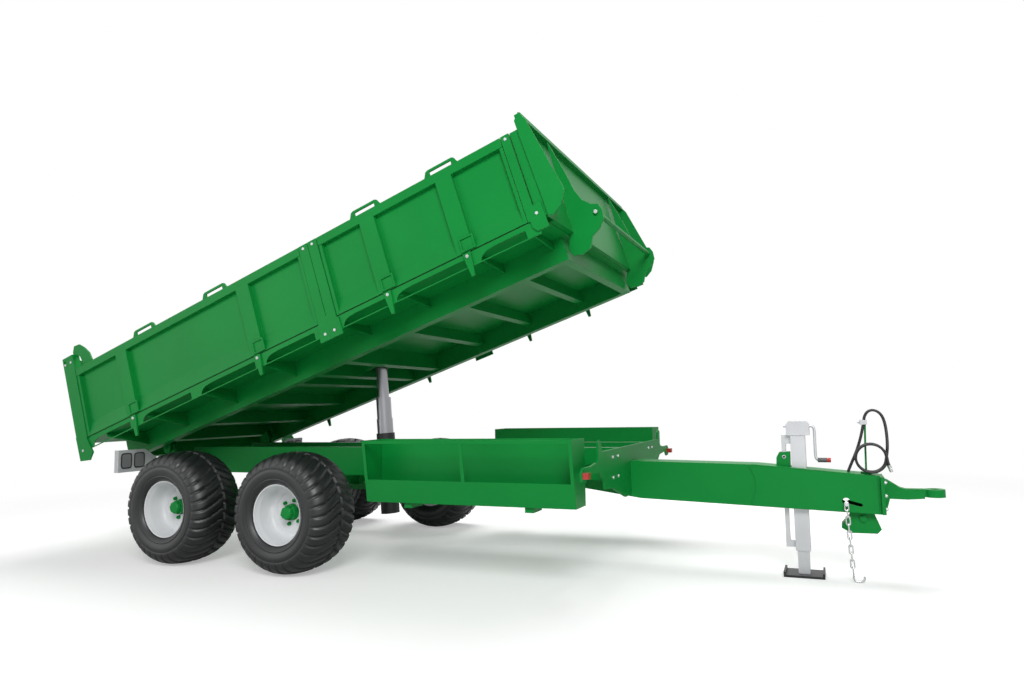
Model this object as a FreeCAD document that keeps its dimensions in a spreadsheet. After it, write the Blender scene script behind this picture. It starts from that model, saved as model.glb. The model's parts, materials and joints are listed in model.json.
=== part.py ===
# Tandem-axle tipping trailer with drop sides, drawn standing on its wheels and its jack
# with the bed part raised. Millimetres. +X points forward along the drawbar, +Y to the
# left side and +Z up from the ground.
import FreeCAD, Part
import Sketcher
import math
import os
import re

SIZES = {
    # where the model's origin lies ahead of the middle of the two axles
    "originAhead": 1544.0,
    # wheels
    "axleHalfPitch": 583.0,
    "trackHalf": 1035.0,
    "tyreRadius": 450.0,
    "treadRadius": 428.0,
    "tyreWidth": 450.0,
    "rimRadius": 224.0,
    "flangeRadius": 238.0,
    "rimWidth": 380.0,
    "hubRadius": 62.0,
    "spindleRadius": 34.0,
    "bearingGap": 0.6,
    # walking beams and their shaft
    "beamGap": 40.0,
    "beamThick": 60.0,
    "shaftRadius": 45.0,
    "shaftRise": 70.0,
    # chassis
    "railY": 350.0,
    "railThick": 70.0,
    "railTop": 893.0,
    "railLow": 660.0,
    "railRear": -1250.0,
    "railFront": 2941.7,
    "bolsterX": 2950.0,
    "bolsterThick": 16.0,
    "lugCount": 22.0,
    "lugHalfGap": 12.0,
    # drawbar
    "barHalf": 100.0,
    "barTop": 776.0,
    "barLow": 502.0,
    "barFront": 4645.0,
    "eyeX": 4968.0,
    "eyeHigh": 580.0,
    "eyeOuter": 60.0,
    "eyeInner": 26.0,
    "linkPitch": 47.0,
    "linkWire": 10.0,
    "linkHalf": 17.0,
    # jack
    "jackX": 4145.0,
    "jackHalf": 48.0,
    "jackTop": 1000.0,
    "legHalf": 38.0,
    "slideGap": 0.4,
    "slotGap": 0.3,
    # tool boxes
    "boxRear": 1300.0,
    "boxFront": 2880.0,
    "boxOuter": 1165.0,
    "boxWide": 245.0,
    "boxTop": 988.0,
    "boxLow": 556.0,
    "sheet": 4.0,
    # bed, drawn level from its hinge and then tilted
    "hingeX": -1300.0,
    "hingeHigh": 900.0,
    "tilt": 17.9,
    "bedRailY": 750.0,
    "bedRailThick": 80.0,
    "bedRailHigh": 170.0,
    "bedRear": -300.0,
    "bedFront": 4310.0,
    "floorHigh": 176.0,
    "edgeLow": 100.0,
    "edgeY": 1160.0,
    "sideLow": 206.0,
    "sideTop": 830.0,
    "sideY": 1150.0,
    "pinHigh": 790.0,
    "pinRadius": 10.0,
    "pinGap": 1.0,
    "moveGap": 6.0,
    "ribWide": 130.0,
    "postOuter": 1192.0,
    "gateU": -334.0,
    "gatePinHigh": 930.0,
    # tipping cylinder, drawn upright on its trunnion and then leaned
    "trunnionX": 683.0,
    "trunnionHigh": 760.0,
    "lean": -4.04,
    "barrelRadius": 80.0,
    "stageOneRadius": 70.0,
    "stageTwoRadius": 65.0,
    "stageThreeRadius": 50.0,
    "barrelUp": 235.0,
    "barrelDown": 470.0,
    "stageOneTop": 365.0,
    "stageTwoTop": 555.0,
    "eyeUp": 864.0,
}

TIED = {
    # places that follow from other sizes
    "beamY": "trackHalf - tyreWidth / 2 - beamGap - beamThick / 2",
    "shaftHigh": "tyreRadius + shaftRise",
    "boxInner": "boxOuter - boxWide",
}

NAMES = sorted([*SIZES, *TIED], key=len, reverse=True)
WORDS = re.compile(r"\b(" + "|".join(NAMES) + r")\b")

doc = FreeCAD.newDocument("TippingTrailer")
sheet = doc.addObject("Spreadsheet::Sheet", "Sizes")
CELLS = [(name, str(value)) for name, value in SIZES.items()]
CELLS += [(name, "=" + formula) for name, formula in TIED.items()]
for row, (name, text) in enumerate(CELLS, 1):
    sheet.set(f"A{row}", name)
    sheet.set(f"B{row}", text)
    sheet.setAlias(f"B{row}", name)
probe = doc.addObject("App::FeaturePython", "Probe")
probe.addProperty("App::PropertyFloat", "Amount")
doc.recompute()


def ex(value):
    """A size as an expression on the sheet."""
    return WORDS.sub(r"Sizes.\1", str(value))


def val(value):
    """The number behind a size."""
    probe.setExpression("Amount", ex(value))
    probe.recompute()
    return probe.Amount


def box(name, x0, x1, y0, y1, z0, z1):
    """A block between two corners."""
    item = doc.addObject("Part::Box", name)
    for key, low, high in (("Length", x0, x1), ("Width", y0, y1), ("Height", z0, z1)):
        item.setExpression(key, f"({ex(high)}) - ({ex(low)})")
    for key, low in (("x", x0), ("y", y0), ("z", z0)):
        item.setExpression(f"Placement.Base.{key}", f"({ex(low)}) * 1 mm")
    return item


AXES = {
    "x": (FreeCAD.Vector(0, 1, 0), 90),
    "y": (FreeCAD.Vector(1, 0, 0), -90),
    "z": (FreeCAD.Vector(0, 0, 1), 0),
}


def rod(name, axis, radius, length, x, y, z):
    """A round bar that starts at a point and runs along one axis."""
    item = doc.addObject("Part::Cylinder", name)
    item.setExpression("Radius", ex(radius))
    item.setExpression("Height", ex(length))
    item.Placement.Rotation = FreeCAD.Rotation(*AXES[axis])
    for key, place in (("x", x), ("y", y), ("z", z)):
        item.setExpression(f"Placement.Base.{key}", f"({ex(place)}) * 1 mm")
    return item


PLANES = {"XZ": "XZ_Plane", "YZ": "YZ_Plane", "XY": "XY_Plane"}
OFFSET = {"XZ": "y", "YZ": "x", "XY": "z"}


def plate(name, plane, points, thick, middle):
    """A flat plate with a straight-sided outline, centred on a plane's offset."""
    body = doc.addObject("PartDesign::Body", name)
    sketch = body.newObject("Sketcher::SketchObject", name + "_outline")
    role = PLANES[plane]
    sketch.AttachmentSupport = ([f for f in body.Origin.OriginFeatures if f.Role == role][0], "")
    sketch.MapMode = "FlatFace"
    spots = [(val(a), val(b)) for a, b in points]
    count = len(points)
    for i, (a, b) in enumerate(spots):
        c, d = spots[(i + 1) % count]
        sketch.addGeometry(
            Part.LineSegment(FreeCAD.Vector(a, b, 0), FreeCAD.Vector(c, d, 0)), False
        )
    for i in range(count):
        sketch.addConstraint(Sketcher.Constraint("Coincident", i, 2, (i + 1) % count, 1))
    for i, (a, b) in enumerate(points):
        for kind, text, number in (("DistanceX", a, spots[i][0]), ("DistanceY", b, spots[i][1])):
            index = sketch.addConstraint(Sketcher.Constraint(kind, -1, 1, i, 1, number))
            sketch.setExpression(f"Constraints[{index}]", ex(text))
    pad = body.newObject("PartDesign::Pad", name + "_pad")
    pad.Profile = sketch
    pad.setExpression("Length", ex(thick))
    pad.Midplane = True
    sketch.Visibility = False
    key = OFFSET[plane]
    body.setExpression(f"Placement.Base.{key}", f"({ex(middle)}) * 1 mm")
    return body


def panel(corners):
    """A flat face through the corners, or two triangles where they don't lie flat."""
    spots = [FreeCAD.Vector(*corner) for corner in corners]
    if len(spots) == 4:
        normal = (spots[1] - spots[0]).cross(spots[2] - spots[0])
        if abs(normal.normalize().dot(spots[3] - spots[0])) > 1e-6:
            return [
                Part.Face(Part.makePolygon([spots[0], spots[1], spots[2], spots[0]])),
                Part.Face(Part.makePolygon([spots[0], spots[2], spots[3], spots[0]])),
            ]
    return [Part.Face(Part.makePolygon(spots + [spots[0]]))]


def closed(name, faces):
    """One solid from flat faces that share their edges."""
    shell = Part.makeShell(faces)
    shell.sewShape()
    solid = Part.Solid(shell)
    if solid.Volume < 0:
        solid.reverse()
    item = doc.addObject("Part::Feature", name)
    item.Shape = solid
    return item


def placed(item, x, y, z):
    """Sets an object's place from the sheet."""
    for key, place in (("x", x), ("y", y), ("z", z)):
        item.setExpression(f"Placement.Base.{key}", f"({ex(place)}) * 1 mm")
    return item


def faceted(name, points, count):
    """A ring of flat facets about the Y line, from (radius, y) points."""
    loop = [(val(a), val(b)) for a, b in points]
    turns = [2 * math.pi * i / count for i in range(count + 1)]
    faces = []
    for a, b in zip(turns, turns[1:]):
        for (r0, y0), (r1, y1) in zip(loop, loop[1:] + loop[:1]):
            corners = [
                (r0 * math.cos(a), y0, r0 * math.sin(a)),
                (r1 * math.cos(a), y1, r1 * math.sin(a)),
                (r1 * math.cos(b), y1, r1 * math.sin(b)),
                (r0 * math.cos(b), y0, r0 * math.sin(b)),
            ]
            faces += panel(corners)
    return closed(name, faces)


def fuse(name, items):
    """Joins shapes into one solid."""
    if len(items) == 1:
        return items[0]
    item = doc.addObject("Part::MultiFuse", name)
    item.Shapes = items
    item.Refine = True
    return item


def cut(name, base, tools):
    """Takes shapes away from another."""
    tool = tools[0] if len(tools) == 1 else fuse(name + "_tools", tools)
    item = doc.addObject("Part::Cut", name)
    item.Base = base
    item.Tool = tool
    item.Refine = True
    return item


def mirrored(name, source):
    """The same shape on the other side of the trailer's centre plane."""
    item = doc.addObject("Part::Mirroring", name)
    item.Source = source
    item.Normal = FreeCAD.Vector(0, 1, 0)
    return item


NODES = []


def node(name, source, place):
    """Sets a named piece at its place on the chassis, the bed or the cylinder."""
    item = doc.addObject("Part::Compound", "node_" + name)
    item.Links = source if isinstance(source, list) else [source]
    for link in item.Links:
        link.Label = link.Name + "_solid"
    item.Label = name
    spots = {
        "chassis": ("-originAhead", "0", "0"),
        "bed": ("hingeX - originAhead", "hingeHigh", "-tilt"),
        "cylinder": ("trunnionX - originAhead", "trunnionHigh", "lean"),
    }
    x, z, turn = spots[place]
    item.setExpression(
        "Placement",
        f"placement(vector(({ex(x)}) * 1 mm; 0 mm; ({ex(z)}) * 1 mm);"
        f" rotation(vector(0; 1; 0); {ex(turn)}))",
    )
    NODES.append(item)
    return item


# wheels: tyre, rim with its disc, and hub on a spindle
def lug_tyre(name):
    """A tyre with lugs that stand in turn on its two halves and wrap its shoulders."""
    half = int(round(val("lugCount")))
    count = 2 * half
    step = 2 * math.pi / count
    bead = val("flangeRadius - 12")
    wall = (val("treadRadius - 110"), val("tyreWidth / 2"))
    shoulder = (val("treadRadius - 30"), val("tyreWidth / 2 - 14"))
    edge = val("tyreWidth / 2 - 66")
    gap = val("lugHalfGap")
    low, high = val("treadRadius"), val("tyreRadius")
    sweep = 0.9 * step

    def spot(radius, y, turn):
        return (radius * math.cos(turn), y, radius * math.sin(turn))

    faces = []
    for i in range(count):
        a, b = i * step, (i + 1) * step
        turns = (a, b)
        beads = [bead if (i + k) % 2 == 0 else bead * math.cos(step) for k in (0, 1)]
        rim = val("rimWidth / 2")
        faces += panel([
            spot(beads[0], -rim, a), spot(beads[0], rim, a),
            spot(beads[1], rim, b), spot(beads[1], -rim, b),
        ])
        faces += panel([
            spot(low, -gap, a + sweep), spot(low, gap, a + sweep),
            spot(low, gap, b + sweep), spot(low, -gap, b + sweep),
        ])
        for side in (-1, 1):
            lug = (i % 2 == 0) == (side < 0)
            top = high if lug else low
            rows = (
                ((beads[0], beads[1]), side * rim, (wall[0],) * 2, side * wall[1], 0),
                ((wall[0],) * 2, side * wall[1], (shoulder[0],) * 2, side * shoulder[1], 0),
                ((shoulder[0],) * 2, side * shoulder[1], (top,) * 2, side * edge, 0),
                ((top,) * 2, side * edge, (top,) * 2, side * gap, sweep),
            )
            for near, y0, far, y1, shift in rows:
                faces += panel([
                    spot(near[0], y0, turns[0]), spot(far[0], y1, turns[0] + shift),
                    spot(far[1], y1, turns[1] + shift), spot(near[1], y0, turns[1]),
                ])
            if lug:
                faces += panel([
                    spot(high, side * gap, a + sweep), spot(low, side * gap, a + sweep),
                    spot(low, side * gap, b + sweep), spot(high, side * gap, b + sweep),
                ])
                for turn in turns:
                    faces += panel([
                        spot(shoulder[0], side * shoulder[1], turn),
                        spot(high, side * edge, turn), spot(low, side * edge, turn),
                    ])
                    faces += panel([
                        spot(high, side * edge, turn), spot(high, side * gap, turn + sweep),
                        spot(low, side * gap, turn + sweep), spot(low, side * edge, turn),
                    ])
    return closed(name, faces)


def wheel(tag, x, side):
    """One wheel on its hub: side is -1 on the right and 1 on the left."""
    y = f"{side} * trackHalf"
    out = f"({side})"
    node("tyre_" + tag, placed(lug_tyre("tyre_" + tag), x, y, "tyreRadius"), "chassis")
    rim = faceted(
        "rim_" + tag,
        [
            ("hubRadius + 1", f"{out} * 10"),
            ("rimRadius - 30", f"{out} * 10"),
            ("rimRadius - 30", f"-{out} * rimWidth / 2 + {out} * 2"),
            ("flangeRadius - 13", f"-{out} * rimWidth / 2 + {out} * 2"),
            ("flangeRadius - 13", f"{out} * rimWidth / 2 - {out} * 2"),
            ("rimRadius - 18", f"{out} * rimWidth / 2 - {out} * 2"),
            ("rimRadius - 30", f"{out} * 60"),
            ("rimRadius - 60", f"{out} * 22"),
            ("hubRadius + 1", f"{out} * 22"),
        ],
        int(round(val("lugCount"))),
    )
    node("rim_" + tag, placed(rim, x, y, "tyreRadius"), "chassis")
    hub = placed(
        faceted(
            "hub_block_" + tag,
            [
                ("spindleRadius - 6", f"-{out} * 190"),
                ("hubRadius", f"-{out} * 190"),
                ("hubRadius", f"-{out} * 2"),
                ("hubRadius + 45", f"-{out} * 2"),
                ("hubRadius + 45", f"{out} * 9.7"),
                ("hubRadius", f"{out} * 9.7"),
                ("hubRadius", f"{out} * 60"),
                ("hubRadius - 14", f"{out} * 100"),
                ("spindleRadius - 6", f"{out} * 100"),
            ],
            int(round(val("lugCount"))),
        ),
        x,
        y,
        "tyreRadius",
    )
    cap = rod("hub_cap_" + tag, "y", "spindleRadius", "6", x, f"{y} + {out} * 97 - 3",
              "tyreRadius")
    bore = rod("hub_bore_" + tag, "y", "spindleRadius + bearingGap", "282", x,
               f"{y} - {out} * 50 - 141", "tyreRadius")
    node("hub_" + tag, fuse("hub_joined_" + tag, [cut("hub_cut_" + tag, hub, [bore]), cap]),
         "chassis")


WHEELS = (
    ("rear_right", "-axleHalfPitch", -1),
    ("front_right", "axleHalfPitch", -1),
    ("rear_left", "-axleHalfPitch", 1),
    ("front_left", "axleHalfPitch", 1),
)
for tag, x, side in WHEELS:
    wheel(tag, x, side)

# walking beams with their spindles, on one shaft through both chassis rails
beam_plate = plate(
    "beam_plate",
    "XZ",
    [
        ("-axleHalfPitch - 70", "tyreRadius - 60"),
        ("axleHalfPitch + 70", "tyreRadius - 60"),
        ("axleHalfPitch + 70", "tyreRadius + 50"),
        ("90", "shaftHigh + 75"),
        ("-90", "shaftHigh + 75"),
        ("-axleHalfPitch - 70", "tyreRadius + 50"),
    ],
    "beamThick",
    "-beamY",
)
beam_parts = [beam_plate]
for tag, x in (("rear", "-axleHalfPitch"), ("front", "axleHalfPitch")):
    beam_parts.append(
        rod(
            "spindle_" + tag,
            "y",
            "spindleRadius",
            "trackHalf + 80 - beamY + beamThick / 2",
            x,
            "-trackHalf - 80",
            "tyreRadius",
        )
    )
beam = cut(
    "beam_bored",
    fuse("beam_joined", beam_parts),
    [rod("beam_bore", "y", "shaftRadius + 0.3", "200", "0", "-beamY - 100", "shaftHigh")],
)
node("walking_beams", [beam, mirrored("beam_mirror", beam)], "chassis")
shaft = fuse(
    "shaft_joined",
    [
        rod(
            "shaft_bar",
            "y",
            "shaftRadius",
            "2 * beamY + beamThick + 30",
            "0",
            "-beamY - beamThick / 2 - 15",
            "shaftHigh",
        ),
        box("shaft_saddle_right", "-130", "130", "-railY - 35", "-railY + 35",
            "shaftHigh - 30", "railLow - 0.3"),
        box("shaft_saddle_left", "-130", "130", "railY - 35", "railY + 35",
            "shaftHigh - 30", "railLow - 0.3"),
    ],
)
node("beam_shaft", shaft, "chassis")

# chassis: two deep rails, cross members, rear hinge tube and lugs, cylinder cradle
frame_parts = []
for tag, y in (("right", "-railY"), ("left", "railY")):
    frame_parts.append(
        box("rail_" + tag, "railRear", "railFront", f"{y} - railThick / 2",
            f"{y} + railThick / 2", "railLow", "railTop")
    )
for tag, x in (("a", "-700"), ("b", "360"), ("c", "960"), ("d", "1900")):
    frame_parts.append(
        box("cross_" + tag, f"{x} - 40", f"{x} + 40", "-railY", "railY", "railLow + 20",
            "railTop - 60")
    )
frame_parts.append(
    box("rear_tube", "hingeX", "railRear + 40", "-bedRailY + 60", "bedRailY - 60", "700",
        "800")
)
lug_tools = []
for tag, y in (("right", "-600"), ("left", "600")):
    frame_parts.append(
        plate(
            "lug_" + tag,
            "XZ",
            [
                ("hingeX - 45", "760"),
                ("hingeX + 90", "760"),
                ("hingeX + 45", "hingeHigh + 30"),
                ("hingeX + 20", "hingeHigh + 45"),
                ("hingeX - 20", "hingeHigh + 45"),
                ("hingeX - 45", "hingeHigh + 20"),
            ],
            "20",
            y,
        )
    )
    lug_tools.append(
        rod("lug_bore_" + tag, "y", "20 + pinGap", "60", "hingeX", f"{y} - 30", "hingeHigh")
    )
for tag, y in (("right", "-1"), ("left", "1")):
    frame_parts.append(
        box("cradle_" + tag, "360", "960", f"{y} * 125 - 10", f"{y} * 125 + 10",
            "trunnionHigh - 45", "trunnionHigh + 45")
    )
    lug_tools.append(
        rod("cradle_bore_" + tag, "y", "25 + pinGap", "60", "trunnionX", f"{y} * 125 - 30",
            "trunnionHigh")
    )
frame = cut("frame_cut", fuse("frame_joined", frame_parts), lug_tools)
node("chassis_frame", frame, "chassis")

# front bolster: arms that carry the marker lamps, ears that guide the bed, and lower gusset
BOLSTER = (
    # y on the right side, height
    (-257, 529), (-557, 625), (-740, 640), (-752, 690), (-787, 723), (-849, 758), (-976, 766),
    (-1085, 769), (-1123, 727), (-1191, 735), (-1198, 795), (-1162, 818), (-1021, 817),
    (-895, 830), (-868, 850), (-870, 958), (-829, 973), (-803, 950), (-800, "railTop"),
)
outline = [(f"{y}", f"{z}") for y, z in BOLSTER]
outline += [(f"{-y}", f"{z}") for y, z in reversed(BOLSTER)]
bolster = cut(
    "bolster_cut",
    plate("bolster_plate", "YZ", outline, "bolsterThick", "bolsterX"),
    [
        box("bolster_slot", "bolsterX - 30", "bolsterX + 30", "-barHalf - slotGap",
            "barHalf + slotGap", "400", "barTop + slotGap"),
    ],
)
node("front_bolster", bolster, "chassis")
markers = []
for tag, side in (("right", -1), ("left", 1)):
    lamp = box("marker_" + tag, "bolsterX + 8.3", "bolsterX + 45",
               f"{side} * 1165 - 24", f"{side} * 1165 + 24", "752", "790")
    markers.append(lamp)
node("marker_lamps", markers, "chassis")

# drawbar: tapered box beam that runs back between the rails, with its doublers and keyhole
bar = fuse(
    "bar_joined",
    [
        plate(
            "bar_beam",
            "XZ",
            [
                ("2400", "barLow + 90"),
                ("3030", "barLow"),
                ("barFront", "443"),
                ("barFront", "694"),
                ("3860", "760"),
                ("3030", "barTop"),
                ("2400", "barTop"),
            ],
            "2 * barHalf",
            "0",
        ),
        plate(
            "bar_doubler",
            "XZ",
            [
                ("3837", "474"),
                ("4628", "446"),
                ("4628", "692"),
                ("3816", "749"),
                ("3853", "666"),
                ("3856", "569"),
                ("3824", "500"),
            ],
            "2 * barHalf + 12",
            "0",
        ),
        box("bar_yoke", "2400", "2480", "-railY + railThick / 2 + slotGap",
            "railY - railThick / 2 - slotGap", "barLow + 200", "barTop"),
    ],
)
bar_tools = [
    box("bar_slot", "jackX - jackHalf - slotGap", "jackX + jackHalf + slotGap",
        "-jackHalf - slotGap", "jackHalf + slotGap", "300", "900"),
    box("bar_rail_slot", "jackX - jackHalf - 62 - slotGap", "jackX", "-20 - slotGap",
        "20 + slotGap", "100", "1000"),
    plate(
        "bar_hollow",
        "XZ",
        [
            ("3100", "barLow + 12"),
            ("barFront - 40", "462"),
            ("barFront - 40", "680"),
            ("3860", "748"),
            ("3100", "barTop - 12"),
        ],
        "2 * barHalf - 16",
        "0",
    ),
    rod("keyhole", "y", "24", "2 * barHalf + 40", "4433", "-barHalf - 20", "523"),
    plate(
        "keyhole_slot",
        "XZ",
        [("4433", "512"), ("4524", "489"), ("4534", "498"), ("4528", "510"), ("4433", "536")],
        "2 * barHalf + 40",
        "0",
    ),
]
node("drawbar", cut("bar_cut", bar, bar_tools), "chassis")

# coupling: end flange, shank with its fork gussets and the towing ring
ring = cut(
    "ring_cut",
    rod("ring_out", "z", "eyeOuter", "50", "eyeX", "0", "eyeHigh - 25"),
    [rod("ring_in", "z", "eyeInner", "90", "eyeX", "0", "eyeHigh - 45")],
)
coupling = fuse(
    "coupling_joined",
    [
        box("end_flange", "barFront + slotGap", "barFront + 24", "-barHalf - 30",
            "barHalf + 30", "445", "687"),
        box("shank", "barFront + 20", "eyeX - eyeOuter + 15", "-28", "28", "eyeHigh - 25",
            "eyeHigh + 25"),
        plate(
            "gusset",
            "XZ",
            [
                ("barFront + 20", "473"),
                ("barFront + 37", "473"),
                ("barFront + 55", "539"),
                ("barFront + 158", "537"),
                ("barFront + 260", "545"),
                ("barFront + 260", "589"),
                ("barFront + 162", "602"),
                ("barFront + 119", "614"),
                ("barFront + 47", "662"),
                ("barFront + 20", "670"),
            ],
            "70",
            "0",
        ),
        ring,
    ],
)
node("tow_coupling", coupling, "chassis")

# hitch bracket under the drawbar's front end
hitch = fuse(
    "hitch_joined",
    [
        plate(
            "hitch_plate",
            "XZ",
            [
                ("4450", "449.8"),
                ("4603", "444.2"),
                ("4603", "432"),
                ("4640", "337"),
                ("4614", "309"),
                ("4451", "307"),
                ("4397", "338"),
                ("4399", "364"),
                ("4450", "420"),
            ],
            "90",
            "0",
        ),
        rod("hitch_boss", "y", "22", "116", "4533", "-58", "406"),
    ],
)
node("hitch_bracket", hitch, "chassis")

# jack: outer tube through the drawbar, gearbox head, crank and inner leg with its foot
jack_tube = cut(
    "jack_tube",
    fuse(
        "jack_outer_joined",
        [
            box("jack_outer_block", "jackX - jackHalf", "jackX + jackHalf", "-jackHalf",
                "jackHalf", "170", "jackTop"),
            plate(
                "jack_head",
                "XZ",
                [
                    ("jackX - 75", "960"),
                    ("jackX + 78", "960"),
                    ("jackX + 78", "1035"),
                    ("jackX + 60", "1057"),
                    ("jackX - 57", "1057"),
                    ("jackX - 75", "1035"),
                ],
                "110",
                "0",
            ),
            box("jack_rail", "jackX - jackHalf - 62", "jackX - jackHalf - 34", "-20", "20",
                "190", "960"),
            box("jack_rail_top", "jackX - jackHalf - 62", "jackX - jackHalf + 5", "-20", "20",
                "900", "960"),
            box("jack_rail_low", "jackX - jackHalf - 62", "jackX - jackHalf + 5", "-20", "20",
                "190", "230"),
        ],
    ),
    [
        box("jack_hollow", "jackX - legHalf - slideGap", "jackX + legHalf + slideGap",
            "-legHalf - slideGap", "legHalf + slideGap", "100", "940"),
        rod("crank_bore", "x", "12 + pinGap", "300", "jackX - 120", "0", "1023"),
        rod("jack_pin_bore", "y", "8 + slotGap", "80", "jackX - jackHalf - 48", "-40", "810"),
    ],
)
node("jack_outer", jack_tube, "chassis")
leg = fuse(
    "leg_joined",
    [
        box("leg_tube", "jackX - legHalf", "jackX + legHalf", "-legHalf", "legHalf", "12",
            "620"),
        box("leg_foot", "jackX - 130", "jackX + 130", "-105", "105", "0", "14"),
    ],
)
node("jack_leg", leg, "chassis")
crank = fuse(
    "crank_joined",
    [
        rod("crank_shaft", "x", "12", "211", "jackX - 94", "0", "1023"),
        box("crank_arm", "jackX + 105", "jackX + 117", "-14", "14", "771", "1037"),
        rod("crank_grip", "x", "16", "98", "jackX + 110", "0", "787"),
    ],
)
node("jack_crank", crank, "chassis")
jack_bracket = fuse(
    "jack_bracket_joined",
    [
        plate(
            "jack_ear_" + tag,
            "XZ",
            [
                ("3995", "749.0"),
                ("4088", "741.2"),
                ("4090", "845"),
                ("4017", "841"),
                ("3998", "806"),
            ],
            "8",
            y,
        )
        for tag, y in (("right", "-26"), ("left", "26"))
    ]
    + [rod("jack_pin", "y", "8", "70", "jackX - jackHalf - 48", "-35", "810")],
)
node("jack_bracket", jack_bracket, "chassis")

# tool boxes: open-topped bins whose outer walls lean and have two windows each
BIN_OUTLINE = (
    ("-boxInner", "boxLow"),
    ("-boxOuter + 65", "boxLow"),
    ("-boxOuter", "boxTop"),
    ("-boxInner", "boxTop"),
)
BIN_HOLLOW = (
    ("-boxInner - sheet", "boxLow + sheet"),
    ("-boxOuter + 65 + sheet", "boxLow + sheet"),
    ("-boxOuter + sheet", "boxTop + 4"),
    ("-boxInner - sheet", "boxTop + 4"),
)
bin_middle = "(boxRear + boxFront) / 2"
bin_shell = cut(
    "bin_shell",
    plate("bin_block", "YZ", BIN_OUTLINE, "boxFront - boxRear", bin_middle),
    [
        plate("bin_hollow", "YZ", BIN_HOLLOW, "boxFront - boxRear - 2 * sheet", bin_middle),
        box("bin_window_rear", "boxRear + 24", f"{bin_middle} - 14", "-boxOuter - 40",
            "-boxOuter + 90", "713", "965"),
        box("bin_window_front", f"{bin_middle} + 14", "boxFront - 24", "-boxOuter - 40",
            "-boxOuter + 90", "713", "965"),
    ],
)
bin_parts = [
    bin_shell,
    box("bin_foot_rear", "boxRear + 300", "boxRear + 360", "-boxOuter + 85", "-boxOuter + 225", "520", "boxLow + 2"),
    box("bin_foot_front", "boxFront - 360", "boxFront - 300", "-boxOuter + 85", "-boxOuter + 225", "520",
        "boxLow + 2"),
]
for tag, x in (("rear", "boxRear + 120"), ("front", "boxFront - 200")):
    bin_parts.append(
        box("bin_arm_" + tag, x, f"{x} + 60", "-boxInner - 2",
            "-railY - railThick / 2 - slotGap", "700", "780")
    )
bin_full = fuse("bin_full", bin_parts)
node("tool_box_right", bin_full, "chassis")
node("tool_box_left", mirrored("bin_mirror", bin_full), "chassis")

# rear lamp boards with their lamps
board = fuse(
    "board_joined",
    [
        plate(
            "board_plate",
            "YZ",
            [
                ("-1100", "714"),
                ("-1100", "905"),
                ("-860", "905"),
                ("-690.3", "780"),
                ("-690.3", "714"),
            ],
            "8",
            "hingeX + 6",
        ),
        box("board_arm", "hingeX + 2", "hingeX + 42", "-870", "-690.3", "714", "750"),
        box("board_end", "hingeX - 40", "hingeX + 10", "-1106", "-1100", "714", "905"),
    ],
)
node("lamp_boards", [board, mirrored("board_mirror", board)], "chassis")
rear_lamps = []
for tag, y in (("outer", "-1085"), ("inner", "-965")):
    lamp = box("rear_lamp_" + tag, "hingeX - 32", "hingeX + 1.7", y, f"{y} + 100", "770", "860")
    rear_lamps += [lamp, mirrored("rear_lamp_mirror_" + tag, lamp)]
node("rear_lamps", rear_lamps, "chassis")

# tipping cylinder on its trunnion
barrel = cut(
    "barrel_cut",
    fuse(
        "barrel_joined",
        [
            rod("barrel_tube", "z", "barrelRadius", "barrelUp + barrelDown", "0", "0",
                "-barrelDown"),
            rod("trunnion", "y", "25", "280", "0", "-140", "0"),
        ],
    ),
    [
        rod("barrel_bore", "z", "stageOneRadius + slideGap", "barrelUp + barrelDown", "0", "0",
            "-barrelDown + 15")
    ],
)
node("cylinder_barrel", barrel, "cylinder")
stage_one = cut(
    "stage_one_cut",
    rod("stage_one_tube", "z", "stageOneRadius", "stageOneTop + 245", "0", "0", "-245"),
    [
        rod("stage_one_bore", "z", "stageTwoRadius + slideGap", "stageOneTop + 300", "0", "0",
            "-233")
    ],
)
node("cylinder_stage_one", stage_one, "cylinder")
stage_two = cut(
    "stage_two_cut",
    rod("stage_two_tube", "z", "stageTwoRadius", "stageTwoTop + 25", "0", "0", "-25"),
    [
        rod("stage_two_bore", "z", "stageThreeRadius + slideGap", "stageTwoTop + 60", "0", "0",
            "-13")
    ],
)
node("cylinder_stage_two", stage_two, "cylinder")
stage_three = fuse(
    "stage_three_joined",
    [
        rod("stage_three_bar", "z", "stageThreeRadius", "eyeUp - 40 - 195", "0", "0", "195"),
        rod("stage_three_eye", "y", "32", "76", "0", "-38", "eyeUp"),
        rod("stage_three_pin", "y", "14", "176", "0", "-88", "eyeUp"),
        box("stage_three_neck", "-26", "26", "-38", "38", "eyeUp - 60", "eyeUp"),
    ],
)
node("cylinder_stage_three", stage_three, "cylinder")

# bed frame: long rails, cross members, hinge ears and the cylinder's cross members
bed_parts = []
for tag, side in (("right", -1), ("left", 1)):
    bed_parts.append(
        box("bed_rail_" + tag, "bedRear", "bedFront - 48", f"{side} * bedRailY - bedRailThick / 2",
            f"{side} * bedRailY + bedRailThick / 2", "0", "bedRailHigh")
    )
CROSS = (
    ("rear", "-300", "0"),
    ("hinge", "-60", "70"),
    ("one", "420", "70"),
    ("two", "960", "70"),
    ("three", "1500", "70"),
    ("hoist_rear", "1845", "20"),
    ("hoist_front", "2150", "20"),
    ("four", "2700", "70"),
    ("five", "3240", "70"),
    ("six", "3780", "70"),
    ("front", "4202", "0"),
)
for tag, u, low in CROSS:
    bed_parts.append(
        box("bed_cross_" + tag, u, f"{u} + 60", "-bedRailY", "bedRailY", low, "bedRailHigh")
    )
for tag, side, y in (
    ("right_out", -1, 632),
    ("right_in", -1, 568),
    ("left_out", 1, 632),
    ("left_in", 1, 568),
):
    bed_parts.append(
        plate(
            "hinge_ear_" + tag,
            "XZ",
            [("-45", "100"), ("-45", "-20"), ("-20", "-45"), ("20", "-45"), ("45", "-20"),
             ("45", "100")],
            "16",
            f"{side} * {y}",
        )
    )
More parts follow.
